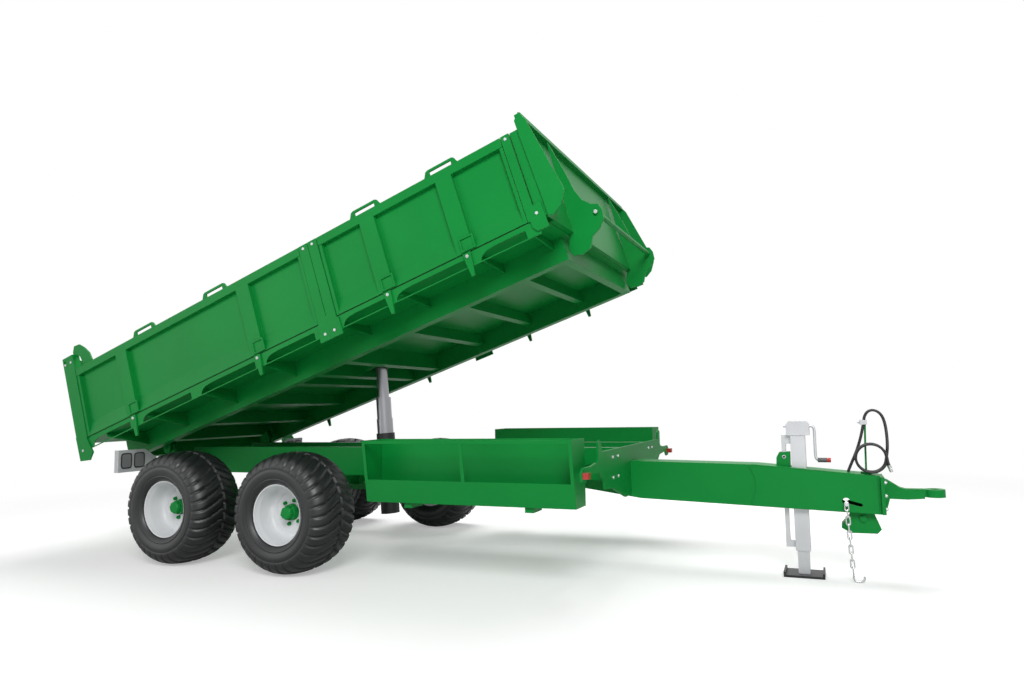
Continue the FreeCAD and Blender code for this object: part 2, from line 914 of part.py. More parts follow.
for tag, side in (("right", -1), ("left", 1)):
    bed_parts.append(
        rod("hinge_pin_" + tag, "y", "20", "90", "0", f"{side} * 600 - 45", "0")
    )
    bed_parts.append(
        box("eye_plate_" + tag, "1880", "2160", f"{side} * 98 - 8", f"{side} * 98 + 8", "60",
            "bedRailHigh")
    )
OUTRIGGERS = ("-20", "500", "1100", "1770", "2560", "3130", "3780", "4180")
for tag, u in enumerate(OUTRIGGERS):
    for name, side in (("right", -1), ("left", 1)):
        bed_parts.append(
            plate(
                f"outrigger_{name}_{tag}",
                "YZ",
                [
                    (f"{side} * bedRailY", "97" if float(u) > 2500 else "40"),
                    (f"{side} * edgeY", "edgeLow + 40"),
                    (f"{side} * edgeY", "bedRailHigh"),
                    (f"{side} * bedRailY", "bedRailHigh"),
                ],
                "12",
                u,
            )
        )
bed_frame = fuse("bed_frame_joined", bed_parts)
node("bed_frame", bed_frame, "bed")

# bed floor with its edge plates, whose cut-outs lie between the outriggers
CUT_OUTS = (
    # rear and front end of each cut-out
    ("-175", "308"), ("456", "1041"), ("1148", "1747"), ("1854", "2353"), ("2618", "3053"),
    ("3098", "3714"), ("3801", "4160"),
)
edge_tools = []
for tag, (u0, u1) in enumerate(CUT_OUTS):
    edge_tools.append(
        plate(
            f"edge_opening_{tag}",
            "XZ",
            [
                (u0, "edgeLow + 8"),
                (f"{u0} + 10", "edgeLow + 30"),
                (f"{u0} + 32", "edgeLow + 48"),
                (f"{u0} + 70", "edgeLow + 60"),
                (f"{u0} + 130", "edgeLow + 65"),
                (f"{u1} - 6", "edgeLow + 65"),
                (u1, "edgeLow + 59"),
                (u1, "edgeLow + 8"),
            ],
            "60",
            "-edgeY - 17",
        )
    )
edge = cut(
    "edge_cut",
    box("edge_plate", "bedRear", "bedFront - 50", "-edgeY - 20", "-edgeY - 14", "edgeLow",
        "sideLow - moveGap"),
    edge_tools,
)
floor_parts = [
    box("floor_sheet", "bedRear", "bedFront", "-edgeY - 17", "edgeY + 17", "bedRailHigh + 0.3",
        "floorHigh"),
    edge,
    mirrored("edge_mirror", edge),
]
node("bed_floor", fuse("floor_joined", floor_parts), "bed")

# corner and middle posts with their feet and the bolts that carry the drop sides
POSTS = (
    # name, rear end, front end, top, outline of the foot
    ("rear", "-360", "-225", "970",
     ((-366, 242), (-360, 29), (-241, 3), (-186, 58), (-240, 222))),
    ("middle", "2415", "2585", "sideTop",
     ((2395, 60), (2605, 60), (2600, 190), (2585, 198), (2585, 240), (2415, 240),
      (2415, 198), (2400, 190))),
    ("front", "4200", "4262", "sideTop",
     ((4218, 154), (4244, 121), (4325, 120), (4324, 205), (4321, 300), (4210, 290))),
)
PINS = {
    "rear": ("rear_pin", "-240", "60"),
    "middle": ("middle_pin", "2375", "250"),
    "front": ("front_pin", "4160", "50"),
}
posts = []
for tag, u0, u1, high, foot in POSTS:
    name, u, length = PINS[tag]
    post_parts = [
        box("post_" + tag, u0, u1, "-postOuter", "-1130", "sideLow - moveGap + slotGap", high),
        plate("foot_" + tag, "XZ", [(str(a), str(b)) for a, b in foot],
              "postOuter - edgeY - 20 - slotGap", "-(postOuter + edgeY + 20 + slotGap) / 2"),
        rod(name, "x", "pinRadius", length, u, "-edgeY", "pinHigh"),
    ]
    tools = []
    if tag == "rear":
        tools.append(rod("gate_bore", "y", "12 + pinGap", "80", "gateU", "-1210", "gatePinHigh"))
        post_parts.append(
            plate(
                "post_hook",
                "XZ",
                [
                    ("-260", "880"), ("-260", "1007"), ("-233", "1054"), ("-165", "1047"),
                    ("-109", "997"), ("-58", "931"), ("-40", "866"), ("-44", "847"),
                    ("-152", "847"), ("-180", "939"), ("-222", "960"), ("-232", "880"),
                ],
                "12",
                "-1150",
            )
        )
    if tag == "middle":
        tools.append(
            box("post_seam", f"({u0} + {u1}) / 2 - 3", f"({u0} + {u1}) / 2 + 3",
                "-postOuter - 5", "-edgeY", "240", "900")
        )
    solid = fuse(f"post_{tag}_joined", post_parts)
    if tools:
        solid = cut(f"post_{tag}_cut", solid, tools)
    posts.append(solid)
    posts.append(mirrored(f"post_{tag}_mirror", solid))
node("bed_posts", posts, "bed")

# drop sides, hung on bolts at the tops of the posts, with ribs, hoops and latch loops
SIDES = (
    # name, rear end, front end, middles of the ribs, middles of the hoops
    ("rear", "-225 + moveGap", "2415 - moveGap", ("365", "1800"), ("660", "1500")),
    ("front", "2585 + moveGap", "4200 - moveGap", ("3045", "3715"), ("3040", "3710")),
)
SIDE_FOLD = (
    # distance out, height: the sheet flares out below its crease
    ("-sideY", "sideTop - 18"),
    ("-sideY", "330"),
    ("-sideY - 32", "sideLow + 9"),
    ("-sideY - 32", "sideLow"),
    ("-sideY - 32 - sheet", "sideLow"),
    ("-sideY - 32 - sheet", "sideLow + 10"),
    ("-sideY - sheet", "331"),
    ("-sideY - sheet", "sideTop - 18"),
)
for tag, u0, u1, ribs, hoops in SIDES:
    side_parts = [
        plate("side_sheet_" + tag, "YZ", SIDE_FOLD, f"({u1}) - ({u0})", f"({u0} + {u1}) / 2"),
        box("side_rail_" + tag, u0, u1, "-sideY - 40", "-sideY + 10", "sideTop - 65", "sideTop"),
        box("side_end_a_" + tag, u0, f"{u0} + 26", "-sideY - 36", "-sideY", "sideLow",
            "sideTop - 20"),
        box("side_end_b_" + tag, f"{u1} - 26", u1, "-sideY - 36", "-sideY", "sideLow",
            "sideTop - 20"),
    ]
    for index, u in enumerate(ribs):
        side_parts.append(
            box(f"side_rib_{tag}_{index}", f"{u} - ribWide / 2", f"{u} + ribWide / 2",
                "-sideY - 40", "-sideY", "sideLow", "sideTop - 60")
        )
        side_parts.append(
            cut(
                f"loop_{tag}_{index}",
                box(f"loop_block_{tag}_{index}", f"{u} - 25", f"{u} + 89", "-sideY - 49",
                    "-sideY - 36", "sideLow + 4", "310"),
                [
                    box(f"loop_hole_{tag}_{index}", f"{u} - 13", f"{u} + 77", "-sideY - 60",
                        "-sideY - 40", "sideLow + 16", "298"),
                ],
            )
        )
    for index, u in enumerate(hoops):
        side_parts.append(
            cut(
                f"hoop_{tag}_{index}",
                plate(
                    f"hoop_plate_{tag}_{index}",
                    "XZ",
                    [
                        (f"{u} - 150", "sideTop - 10"),
                        (f"{u} - 118", "sideTop + 52"),
                        (f"{u} - 100", "sideTop + 60"),
                        (f"{u} + 100", "sideTop + 60"),
                        (f"{u} + 118", "sideTop + 52"),
                        (f"{u} + 150", "sideTop - 10"),
                    ],
                    "12",
                    "-sideY - 12",
                ),
                [
                    box(f"hoop_slot_{tag}_{index}", f"{u} - 90", f"{u} + 90", "-1300", "-1000",
                        "sideTop + 6", "sideTop + 42"),
                ],
            )
        )
    pin_tools = [
        rod(f"side_bore_a_{tag}", "x", "pinRadius + pinGap", "51", f"{u0} - 5", "-edgeY",
            "pinHigh"),
        rod(f"side_bore_b_{tag}", "x", "pinRadius + pinGap", "51", f"{u1} - 46", "-edgeY",
            "pinHigh"),
    ]
    solid = cut(f"side_{tag}_cut", fuse(f"side_{tag}_joined", side_parts), pin_tools)
    node(f"side_{tag}_right", solid, "bed")
    node(f"side_{tag}_left", mirrored(f"side_{tag}_mirror", solid), "bed")

# latch levers on the edge plates, below the ribs
LATCHES = (
    # middle, bottom
    ("370", "21"), ("1795", "37"), ("3050", "32"), ("3720", "32"),
)
latch_parts = []
for index, (u, low) in enumerate(LATCHES):
    latch = plate(
        f"latch_{index}",
        "XZ",
        [
            (f"{u} - 30", "sideLow - moveGap"),
            (f"{u} - 26", "140"),
            (f"{u} - 12", low),
            (f"{u} + 12", low),
            (f"{u} + 26", "140"),
            (f"{u} + 30", "sideLow - moveGap"),
        ],
        "14",
        "-edgeY - 27 - slotGap",
    )
    latch_parts += [latch, mirrored(f"latch_mirror_{index}", latch)]
node("side_latches", latch_parts, "bed")

# tailgate hung from its top pins
gate_parts = [
    box("gate_sheet", "gateU - 2", "gateU + 2", "-1130 + moveGap", "1130 - moveGap", "190",
        "gatePinHigh"),
    box("gate_top", "gateU - 18", "gateU + 18", "-1130 + moveGap", "1130 - moveGap",
        "gatePinHigh - 25", "gatePinHigh + 25"),
    box("gate_foot", "gateU - 18", "gateU + 18", "-1130 + moveGap", "1130 - moveGap", "190",
        "230"),
]
for index, y in enumerate(("-1104", "-560", "0", "560", "1104")):
    gate_parts.append(
        box(f"gate_rib_{index}", "gateU - 18", "gateU + 2", f"{y} - 20", f"{y} + 20", "200",
            "gatePinHigh")
    )
for name, side in (("right", -1), ("left", 1)):
    gate_parts.append(
        rod("gate_pin_" + name, "y", "12", "80", "gateU", f"{side} * 1145 - 40", "gatePinHigh")
    )
node("tailgate", fuse("gate_joined", gate_parts), "bed")

# headboard with end plates, folded sheet, inner ribs and front brackets
END_PLATE = (
    (4375, 932), (4330, 887), (4330, 786), (4346, 187), (4378, 176), (4441, 212), (4492, 286),
    (4497, 314), (4407, 856),
)
BRACKET = (
    (4375, 906), (4430, 601), (4446, 465), (4476, 372), (4526, 316), (4573, 294), (4587, 248),
    (4579, 183), (4529, 129), (4464, 98), (4423, 25), (4362, 6), (4290, 23), (4270, 78),
    (4313, 168), (4335, 219), (4340, 237),
)
head_parts = [
    box("head_sheet", "4340", "4346", "-1190", "1190", "floorHigh + 2", "900"),
    box("head_top", "4340", "4385", "-1190", "1190", "890", "925"),
    box("head_low", "4300", "4346", "-1100", "1100", "floorHigh + slotGap", "260"),
    rod("head_tube", "y", "18", "1500", "4543", "-750", "244"),
]
for name, side in (("right", -1), ("left", 1)):
    head_parts.append(
        plate("end_plate_" + name, "XZ", [(str(a), str(b)) for a, b in END_PLATE], "8",
              f"{side} * 1190")
    )
    head_parts.append(
        plate("head_bracket_" + name, "XZ", [(str(a), str(b)) for a, b in BRACKET], "14",
              f"{side} * 730")
    )
    head_parts.append(
        box("head_end_" + name, "4268", "4346", f"{side} * 1155 - 24.7", f"{side} * 1155 + 24.7",
            "sideLow - moveGap + slotGap", "sideTop")
    )
node("headboard", fuse("head_joined", head_parts), "bed")

# hose holder on the sloping top of the drawbar
holder = fuse(
    "holder_joined",
    [
        rod("holder_stem", "z", "7", "350", "4568", "0", "703"),
        plate(
            "holder_foot",
            "XZ",
            [("4535", "703.6"), ("4600", "698.1"), ("4600", "708"), ("4535", "713")],
            "50",
            "0",
        ),
        box("holder_clamp", "4545", "4592", "-25", "25", "1020", "1060"),
    ],
)
node("hose_holder", holder, "chassis")

# safety chain: a shackle bolt in the keyhole, links in turn, and a hook that reaches the ground
CHAIN_Y = "-barHalf - 28"
chain_parts = [
    fuse(
        "shackle_joined",
        [
            rod("shackle_bolt", "y", "9", "74", "4433", "-145", "508.3"),
            rod("shackle_head", "y", "15", "6", "4433", "-80", "508.3"),
            rod("shackle_nut", "y", "15", "6", "4433", "-151", "508.3"),
        ],
    )
]


def link(name, index):
    """A chain link: each one is turned a quarter from the one above it."""
    flat = index % 2 == 0
    wide, thin = "linkHalf", "linkWire / 2"
    across, through = (wide, thin) if flat else (thin, wide)
    hole = "linkHalf - linkWire"
    hole_x, hole_y = (hole, "linkWire") if flat else ("linkWire", hole)
    ring_solid = cut(
        name,
        box(name + "_block", f"-({across})", across, f"-({through})", through,
            "-linkPitch / 2 - linkWire", "linkPitch / 2 + linkWire"),
        [
            box(name + "_hole", f"-({hole_x})", hole_x, f"-({hole_y})", hole_y,
                "-linkPitch / 2", "linkPitch / 2"),
        ],
    )
    ring_solid.setExpression(
        "Placement",
        f"placement(vector(({4433 + 2 * index}) * 1 mm; ({ex(CHAIN_Y)}) * 1 mm;"
        f" ({493.9 - 46.7 * index}) * 1 mm); rotation(vector(0; 1; 0); {-2.5 if index else 0}))",
    )
    return ring_solid


for index in range(9):
    chain_parts.append(link(f"link_{index}", index))
chain_parts.append(
    fuse(
        "hook_joined",
        [
            link("link_9", 9),
            plate(
                "hook_bend",
                "XZ",
                [
                    ("4444", "52"),
                    ("4458", "52"),
                    ("4460", "36"),
                    ("4472", "21"),
                    ("4496", "18"),
                    ("4510", "30"),
                    ("4512", "48"),
                    ("4522", "46"),
                    ("4523", "22"),
                    ("4504", "3"),
                    ("4466", "2"),
                    ("4447", "16"),
                ],
                "12",
                CHAIN_Y,
            ),
        ],
    )
)
node("safety_chain", chain_parts, "chassis")

doc.recompute()
os.makedirs("parts", exist_ok=True)
for item in doc.Objects:
    if "Invalid" in item.State or "Error" in item.State:
        raise RuntimeError(f"{item.Name} is {item.State}")
    if hasattr(item, "Shape") and item.TypeId not in ("App::Plane", "App::Line", "App::Point"):
        if item.Shape.isNull() or not item.Shape.isValid():
            raise RuntimeError(f"{item.Name} has a bad shape")
for item in NODES:
    item.Shape.exportStep(f"parts/{item.Label}.step")
print(len(NODES), "nodes")
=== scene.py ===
import json
import math
import bpy
import bmesh
from mathutils import Matrix, Vector


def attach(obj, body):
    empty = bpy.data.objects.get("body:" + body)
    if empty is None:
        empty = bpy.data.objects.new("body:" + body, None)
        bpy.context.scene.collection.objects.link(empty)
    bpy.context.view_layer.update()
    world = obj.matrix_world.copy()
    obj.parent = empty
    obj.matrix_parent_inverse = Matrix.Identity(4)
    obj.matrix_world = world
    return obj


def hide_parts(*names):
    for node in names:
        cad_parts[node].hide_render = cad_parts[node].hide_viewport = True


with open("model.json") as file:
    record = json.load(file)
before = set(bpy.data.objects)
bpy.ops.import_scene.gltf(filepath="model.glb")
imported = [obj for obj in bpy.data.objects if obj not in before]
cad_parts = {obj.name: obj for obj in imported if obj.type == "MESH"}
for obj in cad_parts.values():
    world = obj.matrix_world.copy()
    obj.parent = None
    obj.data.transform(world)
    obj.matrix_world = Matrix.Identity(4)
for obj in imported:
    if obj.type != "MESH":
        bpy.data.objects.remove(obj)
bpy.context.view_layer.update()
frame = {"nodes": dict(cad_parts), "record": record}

nodes = frame["nodes"]

# Photograph's camera: focal length and middle of view in pixels of a 1024 x 683 frame
FRAME_WIDTH = 1024
FRAME_HEIGHT = 683
FOCAL_PIXELS = 680.8
MIDDLE = (544.1, 350.9)
EYE = (2.824, -5.132, 1.197)
YAW = math.radians(22.63)
PITCH = math.radians(4.70)
ROLL = math.radians(-1.29)


def make_camera():
    """The camera stands low ahead of the right side and looks back and slightly up."""
    data = bpy.data.cameras.new("camera")
    data.sensor_width = 36.0
    data.lens = FOCAL_PIXELS / FRAME_WIDTH * 36.0
    data.shift_x = (FRAME_WIDTH / 2 - MIDDLE[0]) / FRAME_WIDTH
    data.shift_y = (MIDDLE[1] - FRAME_HEIGHT / 2) / FRAME_WIDTH
    camera = bpy.data.objects.new("camera", data)
    bpy.context.scene.collection.objects.link(camera)
    ahead = Vector((
        -math.sin(YAW) * math.cos(PITCH),
        math.cos(YAW) * math.cos(PITCH),
        math.sin(PITCH),
    ))
    right = Vector((math.cos(YAW), math.sin(YAW), 0))
    up = right.cross(ahead)
    across = math.cos(ROLL) * right + math.sin(ROLL) * up
    upward = -math.sin(ROLL) * right + math.cos(ROLL) * up
    turn = Matrix((across, upward, -ahead)).transposed().to_4x4()
    camera.matrix_world = Matrix.Translation(EYE) @ turn
    bpy.context.scene.camera = camera


def tint(colour, factor):
    """A colour made lighter or darker."""
    return tuple(min(1.0, part * factor) for part in colour[:3]) + (1.0,)


# Finishes: size and fineness of the slow colour drift and of the grain, depth of the grain
DRIFT_SCALE = 1.7
DRIFT_DETAIL = 5.0
DRIFT_RANGE = (0.3, 0.72)
GRAIN_DETAIL = 6.0
GRAIN_DEPTH = 0.002
COAT_ROUGHNESS = 0.12
GLOSS_RANGE = (0.06, 0.08)
EDGE_SAMPLES = 4


def surface(name, colour, rough, metallic=0.0, grain=40.0, spread=0.12, bump=0.04, coat=0.0,
            edge=0.0, shine=0.5):
    """A painted, rubber or metal surface with slow colour drift, fine grain and soft edges."""
    material = bpy.data.materials.new(name)
    material.use_nodes = True
    tree = material.node_tree
    shader = tree.nodes["Principled BSDF"]
    shader.inputs["Metallic"].default_value = metallic
    shader.inputs["Coat Weight"].default_value = coat
    shader.inputs["Specular IOR Level"].default_value = shine
    shader.inputs["Coat Roughness"].default_value = COAT_ROUGHNESS
    place = tree.nodes.new("ShaderNodeTexCoord")
    drift = tree.nodes.new("ShaderNodeTexNoise")
    drift.inputs["Scale"].default_value = DRIFT_SCALE
    drift.inputs["Detail"].default_value = DRIFT_DETAIL
    fine = tree.nodes.new("ShaderNodeTexNoise")
    fine.inputs["Scale"].default_value = grain
    fine.inputs["Detail"].default_value = GRAIN_DETAIL
    tree.links.new(place.outputs["Object"], drift.inputs["Vector"])
    tree.links.new(place.outputs["Object"], fine.inputs["Vector"])
    ramp = tree.nodes.new("ShaderNodeValToRGB")
    dark, light = ramp.color_ramp.elements
    dark.position, light.position = DRIFT_RANGE
    dark.color = tint(colour, 1.0 - spread)
    light.color = tint(colour, 1.0 + spread)
    tree.links.new(drift.outputs["Fac"], ramp.inputs["Fac"])
    tree.links.new(ramp.outputs["Color"], shader.inputs["Base Color"])
    gloss = tree.nodes.new("ShaderNodeMapRange")
    gloss.inputs["To Min"].default_value = max(0.05, rough - GLOSS_RANGE[0])
    gloss.inputs["To Max"].default_value = min(1.0, rough + GLOSS_RANGE[1])
    tree.links.new(fine.outputs["Fac"], gloss.inputs["Value"])
    tree.links.new(gloss.outputs["Result"], shader.inputs["Roughness"])
    relief = tree.nodes.new("ShaderNodeBump")
    relief.inputs["Strength"].default_value = bump
    relief.inputs["Distance"].default_value = GRAIN_DEPTH
    tree.links.new(fine.outputs["Fac"], relief.inputs["Height"])
    if edge:
        rounded = tree.nodes.new("ShaderNodeBevel")
        rounded.samples = EDGE_SAMPLES
        rounded.inputs["Radius"].default_value = edge
        tree.links.new(rounded.outputs["Normal"], relief.inputs["Normal"])
    tree.links.new(relief.outputs["Normal"], shader.inputs["Normal"])
    return material


GREEN = surface("green_paint", (0.003, 0.235, 0.038), 0.38, grain=260, spread=0.07, bump=0.03,
                edge=0.003, shine=0.16)
RUBBER = surface("tyre_rubber", (0.012, 0.013, 0.014), 0.40, grain=180, spread=0.2, bump=0.10,
                 shine=0.55)
RIM = surface("rim_grey", (0.72, 0.73, 0.75), 0.38, grain=200, spread=0.05, bump=0.03, coat=0.1)
STEEL = surface("cylinder_steel", (0.36, 0.36, 0.38), 0.3, metallic=0.9, grain=320, spread=0.08)
BLACK = surface("black_paint", (0.012, 0.012, 0.014), 0.45, grain=240, spread=0.1)
ZINC = surface("galvanised_steel", (0.62, 0.63, 0.65), 0.42, metallic=0.45, grain=90, spread=0.14,
               bump=0.05, edge=0.002)
CHROME = surface("bright_steel", (0.72, 0.73, 0.74), 0.22, metallic=1.0, grain=150, spread=0.1)
LENS = surface("red_lens", (0.45, 0.02, 0.02), 0.2, grain=300, spread=0.08, coat=0.6)
GLASS = surface("lamp_grey", (0.20, 0.20, 0.21), 0.3, grain=120, spread=0.1, coat=0.3)
PALE = surface("pale_grey", (0.52, 0.53, 0.55), 0.45, grain=200, spread=0.05)
GRIP = surface("grip_grey", (0.09, 0.09, 0.095), 0.5, grain=300, spread=0.1, bump=0.1)
CAP = surface("grip_red", (0.55, 0.02, 0.015), 0.35, grain=300, spread=0.08)
PAINTS = {
    "green_paint": GREEN,
    "tyre": RUBBER,
    "rim_grey": RIM,
    "cylinder_steel": STEEL,
    "black_paint": BLACK,
    "galvanised": ZINC,
    "red_lens": LENS,
    "pale_grey": PALE,
}


def paint_nodes():
    """Gives every carried-over piece the finish of its slot."""
    for part in frame["record"]["subparts"]:
        thing = nodes[part["node"]]
        for slot in thing.material_slots:
            slot.material = PAINTS[part["material_slot"]]


# Studio: floor, the ring over which it fades to white, sky light and large soft lamps
FLOOR_HALF = 60.0
FLOOR_SHADE = (0.82, 0.82, 0.82, 1)
FLOOR_GLOW = 0.36
FLOOR_FADE = (4.5, 9.0)
SKY_LIGHT = 0.16
WHITE = (1, 1, 1, 1)
STUDIO_LAMPS = (
    # name, place, aimed at, side, power
    ("key", (4.5, -8.0, 6.5), (0, 0, 1.2), 4.0, 690.0),
    ("fill", (-7.0, -7.0, 3.0), (0, 0, 1.2), 5.0, 90.0),
    ("top", (-1.0, 3.0, 10.0), (0, 0, 0.5), 6.0, 840.0),
)


def make_floor():
    """A pale floor that keeps the shadow near the trailer and is white further out."""
    mesh = bpy.data.meshes.new("floor")
    half = FLOOR_HALF
    mesh.from_pydata(
        [(-half, -half, 0), (half, -half, 0), (half, half, 0), (-half, half, 0)],
        [],
        [(0, 1, 2, 3)],
    )
    floor = bpy.data.objects.new("floor", mesh)
    bpy.context.scene.collection.objects.link(floor)
    material = bpy.data.materials.new("floor")
    material.use_nodes = True
    tree = material.node_tree
    shader = tree.nodes["Principled BSDF"]
    shader.inputs["Base Color"].default_value = FLOOR_SHADE
    shader.inputs["Roughness"].default_value = 0.85
    shader.inputs["Specular IOR Level"].default_value = 0.1
    glow = tree.nodes.new("ShaderNodeEmission")
    glow.inputs["Color"].default_value = WHITE
    glow.inputs["Strength"].default_value = FLOOR_GLOW
    ray = tree.nodes.new("ShaderNodeLightPath")
    black = tree.nodes.new("ShaderNodeEmission")
    black.inputs["Strength"].default_value = 0.0
    pick = tree.nodes.new("ShaderNodeMixShader")
    total = tree.nodes.new("ShaderNodeAddShader")
    tree.links.new(ray.outputs["Is Camera Ray"], pick.inputs["Fac"])
    tree.links.new(black.outputs["Emission"], pick.inputs[1])
    tree.links.new(glow.outputs["Emission"], pick.inputs[2])
    tree.links.new(shader.outputs["BSDF"], total.inputs[0])
    tree.links.new(pick.outputs["Shader"], total.inputs[1])
    place = tree.nodes.new("ShaderNodeTexCoord")
    length = tree.nodes.new("ShaderNodeVectorMath")
    length.operation = "LENGTH"
    fade = tree.nodes.new("ShaderNodeMapRange")
    fade.inputs["From Min"].default_value = FLOOR_FADE[0]
    fade.inputs["From Max"].default_value = FLOOR_FADE[1]
    both = tree.nodes.new("ShaderNodeMath")
    both.operation = "MULTIPLY"
    white = tree.nodes.new("ShaderNodeEmission")
    far = tree.nodes.new("ShaderNodeMixShader")
    tree.links.new(place.outputs["Object"], length.inputs[0])
    tree.links.new(length.outputs["Value"], fade.inputs["Value"])
    tree.links.new(fade.outputs["Result"], both.inputs[0])
    tree.links.new(ray.outputs["Is Camera Ray"], both.inputs[1])
    tree.links.new(both.outputs["Value"], far.inputs["Fac"])
    tree.links.new(total.outputs["Shader"], far.inputs[1])
    tree.links.new(white.outputs["Emission"], far.inputs[2])
    tree.links.new(far.outputs["Shader"], tree.nodes["Material Output"].inputs["Surface"])
    mesh.materials.append(material)


def make_sky():
    """A white sky that is bright to the camera and in reflections, and dim as a light."""
    world = bpy.context.scene.world or bpy.data.worlds.new("world")
    bpy.context.scene.world = world
    world.use_nodes = True
    tree = world.node_tree
    sky = tree.nodes["Background"]
    ray = tree.nodes.new("ShaderNodeLightPath")
    level = tree.nodes.new("ShaderNodeMapRange")
    level.inputs["To Min"].default_value = SKY_LIGHT
    level.inputs["To Max"].default_value = 1.0
    most = tree.nodes.new("ShaderNodeMath")
    most.operation = "MAXIMUM"
    tree.links.new(ray.outputs["Is Camera Ray"], most.inputs[0])
    tree.links.new(ray.outputs["Is Glossy Ray"], most.inputs[1])
    tree.links.new(most.outputs["Value"], level.inputs["Value"])
    tree.links.new(level.outputs["Result"], sky.inputs["Strength"])
    sky.inputs["Color"].default_value = WHITE


def make_studio_lamps():
    """Square lamps: a strong one ahead on the right, a weak one behind it and one above."""
    for name, spot, aim, size, power in STUDIO_LAMPS:
        data = bpy.data.lights.new(name, "AREA")
        data.shape = "SQUARE"
        data.size = size
        data.energy = power
        lamp = bpy.data.objects.new(name, data)
        bpy.context.scene.collection.objects.link(lamp)
        lamp.location = spot
        lamp.rotation_euler = (Vector(aim) - Vector(spot)).to_track_quat("-Z", "Y").to_euler()


# How far the origin lies ahead of the wheels' middle, the bed's tilt and its hinge line
ORIGIN_AHEAD = 1.544
TILT = math.radians(17.9)
HINGE = (-1.300 - ORIGIN_AHEAD, 0.900)


def bed_point(u, y, w):
    """A point given along the bed, across it and up from its hinge line."""
    return (
        HINGE[0] + u * math.cos(TILT) - w * math.sin(TILT),
        y,
        HINGE[1] + u * math.sin(TILT) + w * math.cos(TILT),
    )


def add_piece(name, points, faces, material, body, replaced=(), smooth=True, edge=35):
    """A mesh piece that rides on a body and takes the finish it is given."""
    mesh = bpy.data.meshes.new(name)
    mesh.from_pydata(points, [], faces)
    mesh.validate()
    shape = bmesh.new()
    shape.from_mesh(mesh)
    bmesh.ops.recalc_face_normals(shape, faces=shape.faces)
    shape.to_mesh(mesh)
    shape.free()
    if smooth:
        mesh.shade_smooth()
        mesh.set_sharp_from_angle(angle=math.radians(edge))
    mesh.materials.append(material)
    thing = bpy.data.objects.new(name, mesh)
    bpy.context.scene.collection.objects.link(thing)
    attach(thing, body)
    if replaced:
        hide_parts(*replaced)
    return thing


def lathe(profile, count, centre, close=False):
    """A surface turned about a line along Y, from (radius, y) points."""
    points, faces = [], []
    rows = len(profile)
    for i in range(count):
        turn = 2 * math.pi * i / count
        for radius, y in profile:
            points.append((
                centre[0] + radius * math.cos(turn),
                centre[1] + y,
                centre[2] + radius * math.sin(turn),
            ))
    last = rows if close else rows - 1
    for i in range(count):
        for k in range(last):
            a, b = i * rows, ((i + 1) % count) * rows
            faces.append((a + k, a + (k + 1) % rows, b + (k + 1) % rows, b + k))
    return points, faces


def join(groups):
    """Puts several (points, faces) groups into one."""
    points, faces = [], []
    for some, more in groups:
        start = len(points)
        points += some
        faces += [tuple(start + i for i in face) for face in more]
    return points, faces


def stud(centre, along, radius, height, sides=6, inner=0.0):
    """A hexagon nut or a round button with a bevelled top, standing on a point."""
    along = Vector(along).normalized()
    side = along.orthogonal().normalized()
    other = along.cross(side)
    rows = [(radius, 0.0), (radius, height * 0.8), (radius * 0.88, height)]
    if inner:
        rows += [(inner, height), (inner, height * 1.5), (inner * 0.8, height * 1.6)]
    points, faces = [], []
    for r, h in rows:
        for i in range(sides):
            turn = 2 * math.pi * (i + 0.5) / sides
            spot = Vector(centre) + along * h
            spot += side * r * math.cos(turn) + other * r * math.sin(turn)
            points.append(tuple(spot))
    for k in range(len(rows) - 1):
        for i in range(sides):
            a, b = k * sides + i, k * sides + (i + 1) % sides
            faces.append((a, b, b + sides, a + sides))
    faces.append(tuple(range((len(rows) - 1) * sides, len(rows) * sides)))
    faces.append(tuple(reversed(range(sides))))
    return points, faces


def block(low, high):
    """A plain block between two corners, as one part of a larger piece."""
    x, y, z = zip(low, high)
    points = [(a, b, c) for c in z for b in y for a in x]
    faces = [(0, 2, 3, 1), (4, 5, 7, 6), (0, 1, 5, 4), (2, 6, 7, 3), (0, 4, 6, 2), (1, 3, 7, 5)]
    return points, faces


def tube(path, radius, sides=12, closed=False):
    """A round bar along a path of points."""
    path = [Vector(p) for p in path]
    count = len(path)
    points, faces = [], []
    normal = None
    for i, spot in enumerate(path):
        before = path[i - 1] if closed or i else spot
        after = path[(i + 1) % count] if closed or i < count - 1 else spot
        along = (after - before).normalized()
        if normal is None:
            normal = along.orthogonal().normalized()
        normal = (normal - along * normal.dot(along)).normalized()
        other = along.cross(normal)
        for k in range(sides):
            turn = 2 * math.pi * k / sides
            points.append(tuple(
                spot + radius * (normal * math.cos(turn) + other * math.sin(turn))
            ))
    last = count if closed else count - 1
    for i in range(last):
        for k in range(sides):
            a, b = i * sides, ((i + 1) % count) * sides
            m = (k + 1) % sides
            faces.append((a + k, a + m, b + m, b + k))
    if not closed:
        faces.append(tuple(reversed(range(sides))))
        faces.append(tuple(range((count - 1) * sides, count * sides)))
    return points, faces


# Wheels: tyres with sweeping lugs, deep rims, hubs with nuts
TYRE_SIDE = (
    # radius and distance from the middle plane, from the bead to the crown
    (0.2265, 0.186), (0.240, 0.203), (0.262, 0.215), (0.268, 0.2125), (0.276, 0.218),
    (0.306, 0.2245), (0.330, 0.2235), (0.336, 0.2195), (0.342, 0.2215), (0.358, 0.217),
    (0.374, 0.208), (0.388, 0.196), (0.400, 0.181), (0.410, 0.163), (0.4185, 0.142),
    (0.4245, 0.119), (0.4285, 0.095), (0.4315, 0.070), (0.4330, 0.047), (0.4340, 0.028),
    (0.4343, 0.012), (0.4343, 0.004),
)
LUGS = 34
LUG_STEPS = 12
LUG_HIGH = 0.0155
LUG_SWIRL = 1.25
LUG_FROM = (0.346, 0.372)
SIDE_LIMIT = 0.2248


